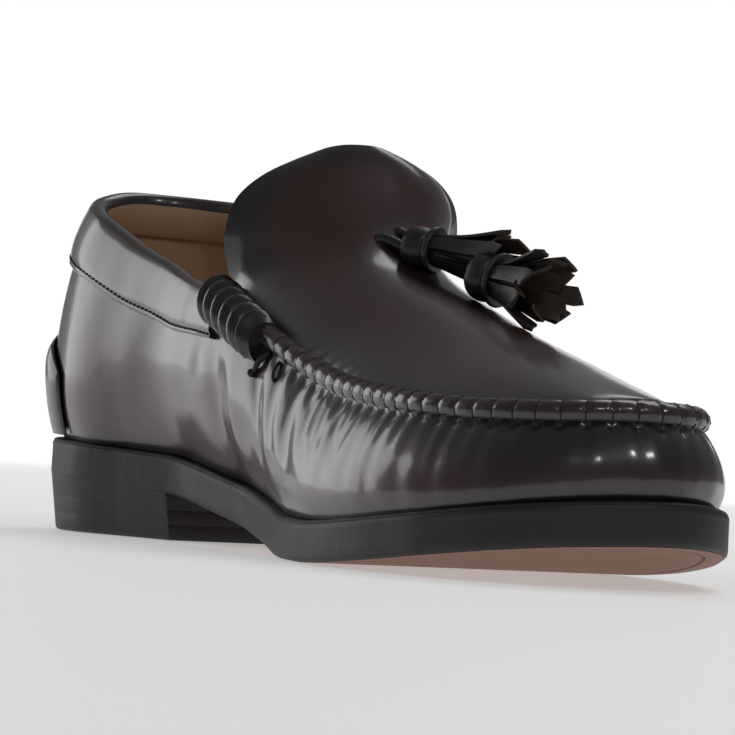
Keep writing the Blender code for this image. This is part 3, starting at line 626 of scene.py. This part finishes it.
def build_upper():
    """The whole upper: wall, raised seam, apron with tongue, and their lining."""
    rises = np.linspace(0, 1, WALL_UP)
    tt, rr = np.meshgrid(turns, rises, indexing="ij")
    wall = wall_point(tt, rr, 0.0)
    wall -= wall_relief(tt, rr)[..., None] * top_inward(tt)
    burn = wall_burnish(tt, rr)
    inner_wall = wall_point(tt, rr, WALL)
    front = np.arange(seam_first, 2 * COLUMNS - seam_first + 1)
    steps = np.linspace(0, 1, RIDGE_UP + 1)
    ridge = ridge_grid(front, steps)
    wall[front, -1] = ridge[:, 0]
    near_columns = np.arange(seam_first, COLUMNS)
    inner_ends = ridge_point(turns[near_columns], -1)
    outer_ends = ridge_point(2 * math.pi - turns[near_columns], -1)
    inner_pinch = ridge[:len(near_columns), -1] - inner_ends
    outer_pinch = ridge[::-1][:len(near_columns), -1] - outer_ends
    rows = front_rows(inner_ends, outer_ends, near_columns)
    keys = tongue_key_rows() + [rows[0], rows[6 * FINE]]
    spread = np.linspace(0, len(keys) - 2, 26 * FINE, endpoint=False)
    tongue = list(blend_keys(np.array(keys), spread))
    apron = np.array(tongue + rows)
    count = len(tongue)
    number = np.arange(len(apron))
    bend = np.exp(-((number - count - 3 * FINE) / (14.0 * FINE)) ** 2)
    rest = 0.45 * smooth_step(count - 8 * FINE, count, number)
    before_toe = 1 - smooth_step(len(apron) - 9 * FINE, len(apron) - 2, number)
    ease = (np.maximum(bend, rest) * before_toe)[:, None, None]
    ease[0] = 0
    for _ in range(70 * FINE * FINE):
        calm = (np.roll(apron, 1, 0) + np.roll(apron, -1, 0)) / 2
        apron[:, 1:-1] += 0.5 * ease * (calm - apron)[:, 1:-1]
    normal = surface_normals(apron)
    across = np.abs(np.linspace(-1, 1, ACROSS + 1))[None, :]
    run = np.concatenate([np.zeros(count), seam_run[near_columns]])[:, None]
    weight = np.concatenate([np.zeros(count), seam_weight(apron[count:, 0, 0])])[:, None]
    width = np.linalg.norm(apron[:, 0] - apron[:, -1], axis=1)[:, None] / 2
    from_edge = (1 - across) * width
    scallop = np.cos(2 * math.pi * run / STITCH_PITCH)
    relief = -0.1 * scallop * weight * np.exp(-from_edge / 1.3)
    x, y = apron[..., 0], apron[..., 1]
    on_vamp = smooth_step(150, 180, x) * (1 - smooth_step(240, 270, x))
    relief += 0.08 * np.sin(x * 0.11 + y * 0.05) * on_vamp
    apron[:, 1:-1] += (relief[..., None] * normal)[:, 1:-1]
    from_inner = (np.linspace(0, 2, ACROSS + 1)[None, :] * width)[count:, :, None]
    apron[count:] += inner_pinch[:, None] * np.exp(-from_inner / 1.6)
    apron[count:] += outer_pinch[:, None] * np.exp(-from_inner[:, ::-1] / 1.6)
    calm = normal.copy()
    for _ in range(8 * FINE):
        calm[1:-1] = (calm[:-2] + 2 * calm[1:-1] + calm[2:]) / 4
    calm /= np.linalg.norm(calm, axis=-1, keepdims=True)
    lined = count + 30 * FINE
    under_rows = (apron - WALL * calm)[:lined]
    number = number[:, None]
    rim = np.exp(-(number / (5.0 * FINE)) ** 2) * 0.9
    side = np.where(number < count, np.exp(-(from_edge / 6.0) ** 2), 0.0)
    seam = np.where(number >= count, np.exp(-(from_edge / 5.0) ** 1.3), 0.0)
    toe = 0.55 * smooth_step(215, 285, x)
    # Painted shadow: the apron is darkened round the tassels' roots, where the tassels shade it
    tassel_shadow = 0.5 * hump(np.hypot(x - 165, y - 8), 0, 16)
    apron_burnish_and_shade = np.clip(np.maximum.reduce([rim + 0 * x, side, seam, toe, tassel_shadow]), 0, 1)
    apron_burnish_and_shade = np.clip(apron_burnish_and_shade + 0.12 * smooth_step(80, 100, apron[..., 2]), 0, 1)

    points = [wall.reshape(-1, 3)]
    paint = [burn.reshape(-1)]
    faces = [grid_faces(2 * COLUMNS, WALL_UP, 0, True)]
    base = 2 * COLUMNS * WALL_UP
    points.append(ridge.reshape(-1, 3))
    ridge_paint = np.broadcast_to(0.25 + 0.75 * np.abs(steps - 0.5) * 2, ridge.shape[:2])
    paint.append(ridge_paint.reshape(-1))
    faces.append(grid_faces(len(front), RIDGE_UP + 1, base))
    base += len(front) * (RIDGE_UP + 1)
    points.append(apron.reshape(-1, 3))
    paint.append(apron_burnish_and_shade.reshape(-1))
    apron_base = base
    faces.append(grid_faces(len(apron), ACROSS + 1, base))
    base += apron.shape[0] * apron.shape[1]
    toe_point = ridge[len(near_columns), -1]
    points.append(toe_point[None])
    paint.append(np.array([0.8]))
    last = apron_base + (len(apron) - 1) * (ACROSS + 1)
    fan = [(last + c, base, last + c + 1) for c in range(ACROSS)]
    base += 1
    outside = sum(len(f) for f in faces) + len(fan)
    points.append(inner_wall.reshape(-1, 3))
    paint.append(np.zeros(2 * COLUMNS * WALL_UP))
    faces.append(grid_faces(2 * COLUMNS, WALL_UP, base, True, True))
    base += 2 * COLUMNS * WALL_UP
    points.append(under_rows.reshape(-1, 3))
    paint.append(np.zeros(under_rows.shape[0] * under_rows.shape[1]))
    faces.append(grid_faces(lined, ACROSS + 1, base, False, True))
    inside_base = base
    edge_path = [(0, c) for c in range(ACROSS + 1)]
    left = [(r, 0) for r in range(count, 0, -1)]
    right = [(r, ACROSS) for r in range(1, count + 1)]
    path = left + edge_path + right
    rim_faces = []
    for (r0, c0), (r1, c1) in zip(path[:-1], path[1:]):
        a, b = r0 * (ACROSS + 1) + c0, r1 * (ACROSS + 1) + c1
        rim_faces.append((apron_base + b, apron_base + a, inside_base + a, inside_base + b))
    quads = [tuple(f) for block in faces[:3] for f in block] + fan
    inner = [tuple(f) for block in faces[3:] for f in block]
    slots = [0] * outside + [1] * len(inner) + [0] * len(rim_faces)
    body = make_mesh("upper_look", np.concatenate(points), quads + inner + rim_faces, [leather, lining],
                     slots, np.concatenate(paint), 50)
    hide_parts("upper")


build_upper()


def seam_threads():
    """A thread over the raised seam at each stitch."""
    parts = []
    steps = np.linspace(0.02, 0.98, 9)
    one_side = slice(seam_first, COLUMNS + 1)
    for inner_side in (True, False):
        for number in range(0 if inner_side else 1, 60):
            run = number * STITCH_PITCH
            spot = np.interp(run, seam_run[one_side][::-1], turns[one_side][::-1])
            if seam_weight(top_edge(np.array([spot]))[0, 0]) < 0.2 or run > seam_run[seam_first]:
                continue
            turn = spot if inner_side else 2 * math.pi - spot
            place = int(round(turn / math.pi * COLUMNS))
            line = ridge_grid(np.array([place]), steps)[0]
            parts.append(tube(line, SEAM_THREAD_RADIUS, 6))
    points, faces = join_lists(parts)
    make_mesh("seam_threads", points, faces, [thread])


seam_threads()


# Angles over the collar's rolled top, from its outer to its inner side
CREST_ANGLES = (150, 120, 90, 60, 30)


def collar_look():
    """Padded collar binding with a stitched lower edge."""
    share = (SEAM_START + 3.0 - BACK_X) / (TOE_X - BACK_X)
    last = math.acos(1 - 2 * share)
    turn = np.linspace(-last, last, 160 * FINE) % (2 * math.pi)
    tall = np.linalg.norm(wall_point(turn, 1.0) - wall_point(turn, 0.0), axis=-1)
    normal = top_inward(turn)
    forward = turn_to_share(turn) / share
    band = COLLAR_BAND * (1 - 0.1 * forward - 0.34 * forward ** 4)
    run = np.concatenate([[0], np.cumsum(np.linalg.norm(np.diff(top_edge(turn), axis=0), axis=1))])
    wrinkle = 0.05 * np.sin(run * 0.31) * np.sin(run * 0.13 + 1) + 0.05 * np.sin(run * 0.17)
    up = np.array([0, 0, 1.0])
    outer = [(1.0, 0.06), (1.0, 0.42), (0.985, 0.66), (0.96, 0.9), (0.9, 1.0), (0.87, 0.86), (0.84, 0.98),
             (0.74, 1.3), (0.6, 1.45), (0.45, 1.5), (0.3, 1.45), (0.15, 1.35), (0.05, 1.2)]
    grid, paint = [], []
    for drop, out in outer:
        puff = out * COLLAR_THICKNESS + GAP + wrinkle * smooth_step(0.0, 0.4, 1 - abs(2 * drop - 1))
        grid.append(wall_point(turn, 1 - drop * band / tall) - puff[:, None] * normal)
        paint.append(0.3 + 0.7 * smooth_step(0.55, 0.9, drop) + 0 * turn)
    crest = top_edge(turn)
    half = (WALL + 2 * COLLAR_THICKNESS + 2 * GAP) / 2
    for angle in np.radians(CREST_ANGLES):
        side = WALL / 2 + math.cos(angle) * half
        rise = math.sin(angle) * (COLLAR_THICKNESS + 0.9)
        grid.append(crest + side * normal + rise * up)
        paint.append(0.45 + 0 * turn)
    for drop, out in ((0.1, 1.1), (0.5, 1.2), (0.85, 1.0), (1.0, 0.5), (1.0, 0.05)):
        depth = WALL + GAP + out * COLLAR_THICKNESS
        grid.append(wall_point(turn, 1 - drop * COLLAR_LINING / tall) + depth * normal)
        paint.append(0.6 + 0 * turn)
    grid = np.stack(grid, 1)
    faces = [tuple(f) for f in grid_faces(len(turn), grid.shape[1])]
    size = grid.shape[1]
    first_lined = len(outer) + len(CREST_ANGLES)
    slots = [1 if k % (size - 1) >= first_lined else 0 for k in range(len(faces))] + [0, 0]
    faces += end_caps(len(turn), size)
    burnish_and_shade = np.stack(paint, 1).reshape(-1)
    body = make_mesh("collar_look", grid.reshape(-1, 3), faces, [leather, lining], slots, burnish_and_shade, 50)
    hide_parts("collar_band")
    line = wall_point(turn, 1 - 0.87 * band / tall) - (0.92 * COLLAR_THICKNESS + GAP) * normal
    points, faces = stitches(line, -normal, 2.5, 0.62, 0.28)
    make_mesh("collar_stitches", points, faces, [thread])


collar_look()


def heel_patch_look():
    """Patch over the back seam with a thinned edge and a row of stitches inside it."""
    columns, rows = 40 * FINE, 20 * FINE
    grid = []
    for i in range(columns + 1):
        across = 2 * i / columns - 1
        top = PATCH_HEIGHT * (1 - 0.35 * across ** 4)
        turn = np.full(rows + 1, (across * PATCH_SPAN) % (2 * math.pi))
        rise = 0.02 + (top - 0.02) * np.linspace(0, 1, rows + 1)
        crown = (1 - np.abs(across) ** 14) * (1 - np.linspace(0, 1, rows + 1) ** 14)
        out = GAP + 0.35 + (PATCH_THICKNESS - 0.2) * crown
        grid.append(wall_point(turn, rise) - out[:, None] * top_inward(turn))
    grid = np.array(grid)
    faces = [tuple(f) for f in grid_faces(columns + 1, rows + 1)]
    paint = np.full(grid.shape[0] * grid.shape[1], 0.75)
    body = make_mesh("heel_patch_look", grid.reshape(-1, 3), faces, [leather], None, paint, 50)
    thick = body.modifiers.new("thickness", "SOLIDIFY")
    thick.thickness = 0.0006
    thick.offset = 1.0
    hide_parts("heel_patch")
    column_in, row_in = 3 * FINE, 2 * FINE
    up_line = grid[column_in, 1:-row_in]
    top_line = grid[column_in:-column_in, -row_in]
    down_line = grid[-column_in, 1:-row_in][::-1]
    line = np.concatenate([up_line, top_line, down_line])
    normal = line - np.array([20.0, 0, 0])
    normal[:, 2] = 0
    normal /= np.linalg.norm(normal, axis=1, keepdims=True)
    points, faces = stitches(line, normal, 2.3, 0.6, 0.25, 0.1)
    make_mesh("heel_patch_stitches", points, faces, [thread])


heel_patch_look()


def seam_roll_look(name, node, outer):
    """Roll of leather over the seam's end, in puffy wraps with thread between them."""
    sections = []
    per_wrap = 20 * FINE
    stations = per_wrap * ROLL_WRAPS + 1
    grooves = []
    up = np.array([0, 0, 1.0])
    for k in range(stations):
        along = k / (stations - 1)
        x = SEAM_START - 2.0 + (ROLL_LENGTH + 2.0) * along
        turn = math.acos(1 - 2 * (x - BACK_X) / (TOE_X - BACK_X))
        if outer:
            turn = 2 * math.pi - turn
        wrap = abs(math.sin(math.pi * ROLL_WRAPS * along))
        ends = min(1.0, 7 * along + 0.3, 9 * (1 - along) + 0.15)
        thickness = ROLL_THICKNESS * (0.25 + 0.8 * wrap ** 0.75) * ends
        normal = top_inward(np.array(turn))
        base = top_edge(np.array(turn))
        centre = base + 2.2 * normal + 1.2 * up
        foot = wall_point(turn, 0.9, 0.0) - centre
        crown = base + 4.2 * normal + 5.0 * up - centre
        start = math.atan2(foot[2], -float(foot[:2] @ normal[:2]))
        end = math.atan2(crown[2], -float(crown[:2] @ normal[:2]))
        low = np.linalg.norm(foot)
        high = np.linalg.norm(crown)
        ring = []
        for t, angle in zip(np.linspace(0, 1, 15), np.linspace(start, end, 15)):
            reach = low * (1 - t) + high * t + thickness * math.sin(math.pi * t) ** 0.45
            ring.append(centre - reach * math.cos(angle) * normal + reach * math.sin(angle) * up)
        sections.append(ring)
        if k % per_wrap == 0 and 0 < k < stations - 1:
            grooves.append(np.array(ring) - 0.05 * normal)
    grid = np.array(sections)
    faces = [tuple(f) for f in grid_faces(grid.shape[0], grid.shape[1], 0, False, outer)]
    faces += end_caps(len(grid), grid.shape[1])
    body = make_mesh(name, grid.reshape(-1, 3), faces, [black], None, None, 60)
    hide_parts(node)
    points, faces = join_lists([tube(g, 0.4, 8) for g in grooves])
    make_mesh(name + "_threads", points, faces, [thread])


seam_roll_look("roll_inner_look", "seam_roll_inner", False)
seam_roll_look("roll_outer_look", "seam_roll_outer", True)


def bar_tack():
    """Thick thread that ties off the seam in front of the roll, with its knot below."""
    parts = []
    ties = ((154.5, 1.0, 150.0, 0.86, 0.75), (160.5, 0.99, 161.0, 0.88, 0.45))
    for x0, rise0, x1, rise1, thick in ties:
        path = []
        for t in np.linspace(0, 1, 9):
            x = x0 + (x1 - x0) * t
            turn = math.acos(1 - 2 * (x - BACK_X) / (TOE_X - BACK_X))
            rise = rise0 + (rise1 - rise0) * t
            path.append(wall_point(turn, rise, -0.4 - 0.9 * math.sin(math.pi * t)))
        parts.append(tube(path, thick, 10))
    turn = math.acos(1 - 2 * (148.8 - BACK_X) / (TOE_X - BACK_X))
    centre = wall_point(turn, 0.84, -0.5)
    dot = centre + np.linspace(-0.9, 0.9, 7)[:, None] * np.array([1.0, 0, 0.3])
    parts.append(tube(dot, [0.3, 0.9, 1.15, 1.2, 1.1, 0.8, 0.3], 10))
    points, faces = join_lists(parts)
    make_mesh("bar_tack", points, faces, [thread])


bar_tack()


# Cross-section of a tassel's strip: across in half widths, outward in millimetres; the side
# that starts at the corner with the number STRIP_BACK shows the leather's pale back
STRIP_SECTION = ((-1, 0), (-0.45, 0.16), (0.45, 0.16), (1, 0), (1, -0.85), (-1, -0.85))
STRIP_BACK = 4


def tassel_look(name, node, root, tip, radius, cap_share, flare, strips, seed):
    """Rolled cap with a raised rim, and loose strips with pale backs that spread and curl."""
    rng = np.random.default_rng(seed)
    root, tip = np.array(root, float), np.array(tip, float)
    along = tip - root
    length = np.linalg.norm(along)
    along /= length
    side = np.cross(along, (0, 0, 1.0))
    side /= np.linalg.norm(side)
    up = np.cross(side, along)
    keys = [(0.0, 0.15), (0.02, 0.45), (0.1, 0.78), (0.25, 0.95), (0.5, 1.0), (0.68, 0.94), (0.76, 0.84),
            (0.8, 0.84), (0.85, 1.06), (0.93, 1.12), (1.0, 1.02), (1.02, 0.8)]
    profile = blend_keys(keys, np.linspace(0, len(keys) - 1, 40))
    sides = 36
    angle = np.arange(sides) * 2 * math.pi / sides
    rings = []
    for share, size in profile:
        middle = root + along * length * cap_share * share
        overlap = 1 + 0.05 * smooth_step(0.0, 0.35, (angle / (2 * math.pi)))
        ring = middle + size * radius * (overlap * np.cos(angle))[:, None] * side
        rings.append(ring + size * radius * (overlap * np.sin(angle))[:, None] * up)
    faces = ring_faces(len(rings), sides)
    cap = make_mesh(name, np.array(rings).reshape(-1, 3), faces, [tassel_black], None, None, 60)
    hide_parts(node)
    parts, slots = [], []
    for k in range(strips):
        angle = 2 * math.pi * (k + 0.3 * rng.uniform(-1, 1)) / strips
        end = 1.0 - 0.16 * rng.random()
        width = radius * rng.uniform(0.36, 0.44)
        twist = rng.uniform(-0.7, 0.7)
        curl = rng.uniform(-0.12, 0.3) * radius
        bend = rng.uniform(-0.25, 0.25)
        layer = 1.0 if k % 2 else 0.72
        rows = 16
        strip = []
        for j in range(rows):
            t = j / (rows - 1)
            share = cap_share * 0.9 + (end - cap_share * 0.9) * t
            middle = root + along * length * share
            lean = angle + bend * t ** 1.5
            radial = math.cos(lean) * side + 0.9 * math.sin(lean) * up
            tangent = -math.sin(lean) * side + 0.9 * math.cos(lean) * up
            spread = radius * layer * (0.84 + flare * t ** 1.1)
            spread = spread + 0.25 * math.sin(5 * t + k) + curl * t ** 3
            middle = middle + spread * radial
            turned = math.cos(twist * t) * tangent + math.sin(twist * t) * radial
            facing = math.cos(twist * t) * radial - math.sin(twist * t) * tangent
            half = width * (0.9 + 0.3 * t) * (1.0 if t < 0.99 else 0.72)
            slant = 1.3 * along * (1 if k % 3 else -1) * (t > 0.97)
            for across, depth in STRIP_SECTION:
                strip.append(middle + across * half * turned + depth * facing + slant * across)
        corners = len(STRIP_SECTION)
        slots += [int(c == STRIP_BACK) for c in range(corners)] * (rows - 1) + [0, 1]
        parts.append((np.array(strip), ring_faces(rows, corners)))
    points, faces = join_lists(parts)
    make_mesh(name + "_fringe", points, faces, [tassel_black, flesh], slots, None, 35)


tassel_look("tassel_a_look", "tassel_a", (155.0, 5.3, 83.5), (184.2, 21.0, 79.3), 5.4, 0.31, 0.68, 13, 5)
tassel_look("tassel_b_look", "tassel_b", (180.0, 12.0, 75.8), (205.0, 21.5, 71.4), 6.2, 0.36, 1.0, 14, 8)


def lace_look(name, node, path, radius):
    """Round thong that comes out of the instep."""
    spline = blend_keys(path, np.linspace(0, len(path) - 1, 24))
    points, faces = tube(spline, radius, 14)
    body = make_mesh(name, points, faces, [tassel_black], None, None, 60)
    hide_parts(node)


lace_look("lace_a_look", "lace_a", (
    (147.0, 1.2, 84.0), (147.9, 1.2, 84.9), (149.8, 2.4, 84.8), (152.2, 3.8, 83.9), (155.4, 6.0, 82.0),
), 1.5)
lace_look("lace_b_look", "lace_b", (
    (146.3, 7.4, 87.0), (147.2, 8.0, 87.2), (149.6, 9.4, 85.6), (153.5, 9.8, 82.5), (159.0, 11.0, 79.2),
), 1.4)


def sole_look():
    """Outsole with a dressed black edge, a tan underside and a stitched channel."""
    count = 260 * FINE
    turn = (np.arange(count) + 0.5) * 2 * math.pi / count
    plan = sole_xy(turn)
    bottom = sole_bottom(plan[:, 0])
    run = np.concatenate([[0], np.cumsum(np.linalg.norm(np.diff(plan, axis=0), axis=1))])
    uneven = (0.1 * np.sin(run * 0.05) + 0.05 * np.sin(run * 0.31))[:, None]
    levels = [
        (0.9, 0.0), (0.45, 0.22), (0.12, 0.62), (0.0, 1.3), (0.0, 3.2), (0.05, 5.5), (0.05, 8.2),
        (0.02, 9.1), (0.3, 9.5), (0.42, 9.62), (0.3, 9.8), (0.55, 10.15), (1.1, 10.38),
        (FEATHER_INSET - 1.6, EDGE_THICKNESS), (FEATHER_INSET + 4, EDGE_THICKNESS),
    ]
    over_heel = 1 - smooth_step(HEEL_LENGTH - 2, HEEL_LENGTH + 6, plan[:, :1])
    rings = []
    for inset, rise in levels:
        bevel = inset * (1 - 0.8 * over_heel) if rise < 1 else inset
        rings.append(np.column_stack([sole_xy(turn, bevel + (0 < rise < 9) * uneven), bottom + rise]))
    grid = np.stack(rings, 1)
    size = grid.shape[1]
    side_faces = [tuple(f) for f in grid_faces(count, size, 0, True, True)]
    channel = [
        (0.9, 0.0), (2.5, 0.0), (4.6, 0.0), (5.2, 0.02), (5.45, 0.22),
        (5.7, 0.3), (5.95, 0.1), (6.4, 0.0), (8.0, 0.0),
    ]
    low = []
    for inset, depth in channel:
        ring = sole_xy(turn, inset)
        low.append(np.column_stack([ring, sole_bottom(ring[:, 0]) + depth]))
    low = np.stack(low, 1)
    base = grid.shape[0] * size
    rims = len(channel) - 1
    rim_faces = [tuple(f) for f in grid_faces(count, rims + 1, base, True)]
    points = np.concatenate([grid.reshape(-1, 3), low.reshape(-1, 3)])
    inner = base + np.arange(count) * (rims + 1) + rims
    cuts = 12
    place = len(points)
    ladder, extra, rungs = [], [], []
    for k in range(count // 2):
        a, b = points[inner[k]], points[inner[count - 1 - k]]
        line = [inner[k]]
        for j in range(1, cuts):
            p = a + (b - a) * j / cuts
            extra.append((p[0], p[1], float(sole_bottom(p[0]))))
            line.append(place)
            place += 1
        line.append(inner[count - 1 - k])
        ladder.append(line)
    for one, two in zip(ladder[:-1], ladder[1:]):
        for j in range(cuts):
            rungs.append((one[j], one[j + 1], two[j + 1], two[j]))
    points = np.concatenate([points, np.array(extra)])
    slots = [0] * len(side_faces) + [1] * (len(rim_faces) + len(rungs))
    for k in range(len(rim_faces)):
        if k % rims in (3, 4, 5):
            slots[len(side_faces) + k] = 2
    faces = side_faces + rim_faces + rungs
    body = make_mesh("outsole_look", points, faces, [edge, under, seam_shadow], slots, None, 60)
    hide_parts("outsole")
    line = sole_xy(turn[turn_to_share(turn) * 3.2 > 0.9], 5.6)
    line = np.column_stack([line, sole_bottom(line[:, 0]) + 0.32])
    points, faces = stitches(line, np.tile([0, 0, -1.0], (len(line), 1)), 2.6, 0.55, 0.2)
    make_mesh("channel_stitches", points, faces, [sole_thread])


sole_look()


def heel_look():
    """Heel block with the lines between its lifts."""
    last = math.acos(1 - 2 * HEEL_LENGTH / LENGTH)
    back = np.linspace(-last, last, 90 * FINE) % (2 * math.pi)
    front = np.linspace(0, 1, 16 * FINE)[1:-1]
    heights = [(0.0, 0.7), (0.02, 0.3), (0.06, 0.0)]
    for lift in (0.33, 0.64):
        heights += [(lift - 0.012, 0.0), (lift, 0.06), (lift + 0.012, 0.0)]
    heights.append((1.0, 0.0))
    loops = []
    for share, pinch in heights:
        inset = HEEL_TAPER * (1 - share) + 0.2 * share + pinch
        plan = sole_xy(back, inset)
        plan[:, 0] = np.minimum(plan[:, 0], HEEL_LENGTH - 0.8 - pinch)
        top = sole_bottom(sole_xy(back)[:, 0]) - 0.04
        ring = np.column_stack([plan, top * share])
        a, b = ring[-1], ring[0]
        ring = np.concatenate([ring, a + (b - a) * front[:, None]])
        loops.append(ring)
    grid = np.stack(loops, 1)
    size = grid.shape[1]
    faces = [tuple(f) for f in grid_faces(len(grid), size, 0, True, True)]
    faces.append(tuple(np.arange(len(grid)) * size))
    faces.append(tuple((np.arange(len(grid)) * size + size - 1)[::-1]))
    body = make_mesh("heel_look", grid.reshape(-1, 3), faces, [edge], None, None, 40)
    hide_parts("heel")


heel_look()


def insole_look():
    """Sock lining, a little dished, over the insole."""
    count = 120 * FINE
    turn = (np.arange(count) + 0.5) * 2 * math.pi / count
    ladder = []
    cuts = 24
    for k in range(count // 2):
        a = sole_xy(turn[k], FEATHER_INSET + WALL + 0.4)
        b = sole_xy(turn[count - 1 - k], FEATHER_INSET + WALL + 0.4)
        line = []
        for j in range(cuts + 1):
            t = j / cuts
            p = a + (b - a) * t
            rise = INSOLE_THICKNESS + GAP + 0.25 + 1.2 * abs(2 * t - 1) ** 4
            line.append((p[0], p[1], float(sole_top(p[0])) + rise))
        ladder.append(line)
    grid = np.array(ladder)
    faces = [tuple(f) for f in grid_faces(grid.shape[0], cuts + 1, 0, False, True)]
    body = make_mesh("insole_look", grid.reshape(-1, 3), faces, [lining])
    thick = body.modifiers.new("thickness", "SOLIDIFY")
    thick.thickness = 0.002
    thick.offset = -1.0
    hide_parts("insole")


insole_look()


def plain_plane(name, size, location, colour, roughness, emission):
    """Studio plane of one colour that also gives a little light of its own."""
    bpy.ops.mesh.primitive_plane_add(size=size, location=location)
    plane = bpy.context.object
    plane.name = name
    finish = new_material(name, colour, roughness)
    shader = finish.node_tree.nodes["Principled BSDF"]
    shader.inputs["Emission Color"].default_value = (1, 1, 1, 1)
    shader.inputs["Emission Strength"].default_value = emission
    plane.data.materials.append(finish)
    return plane


# Floor, lights and camera
plain_plane("floor", 12, (0, 0, -0.0002), (0.93, 0.93, 0.93), 0.6, 0.35)

world = bpy.data.worlds.new("world")
bpy.context.scene.world = world
world.use_nodes = True
world.node_tree.nodes["Background"].inputs["Color"].default_value = (1, 1, 1, 1)
world.node_tree.nodes["Background"].inputs["Strength"].default_value = 0.15

backdrop = plain_plane("backdrop", 1, (-1.71, 0.95, 0.1), (0.0, 0.0, 0.0), 1.0, 1.0)
backdrop.rotation_euler = (math.radians(90), 0, math.radians(61))
backdrop.scale = (1.5, 0.9, 1.0)


def softbox(name, place, target, width, height, power):
    """Rectangular lamp that faces a target."""
    lamp = bpy.data.lights.new(name, "AREA")
    lamp.shape = "RECTANGLE"
    lamp.size = width
    lamp.size_y = height
    lamp.energy = power
    body = bpy.data.objects.new(name, lamp)
    body.location = place
    direction = Vector(target) - Vector(place)
    body.rotation_euler = direction.to_track_quat("-Z", "Y").to_euler()
    bpy.context.scene.collection.objects.link(body)


softbox("quarter", (-1.4, -0.68, 0.45), (-0.06, 0, 0.05), 0.85, 0.9, 4.0)
softbox("top", (-0.5, 0.9, 1.5), (0, 0, 0), 1.2, 0.7, 5)
softbox("toe_sparkle", (1.1, 0.16, 1.1), (0.12, 0, 0.04), 0.12, 0.12, 1.5)
softbox("toe_glint", (1.0, -0.45, 0.95), (0.12, 0, 0.04), 0.1, 0.1, 0.8)

ahead, right, up = camera_axes()
lens = bpy.data.cameras.new("camera")
lens.sensor_width = SENSOR_WIDTH
lens.lens = LENS / PHOTO_WIDTH * SENSOR_WIDTH
lens.clip_start = 0.01
lens.clip_end = 50
camera = bpy.data.objects.new("camera", lens)
matrix = Matrix.Identity(4)
for i in range(3):
    matrix[i][0], matrix[i][1], matrix[i][2] = right[i], up[i], -ahead[i]
matrix[0][3] = (CAMERA[0] - CENTRE_X) * MM
matrix[1][3] = (CAMERA[1] - CENTRE_Y) * MM
matrix[2][3] = CAMERA[2] * MM
camera.matrix_world = matrix
bpy.context.scene.collection.objects.link(camera)
scene = bpy.context.scene
scene.camera = camera
scene.cycles.caustics_reflective = False
scene.view_settings.view_transform = "Standard"
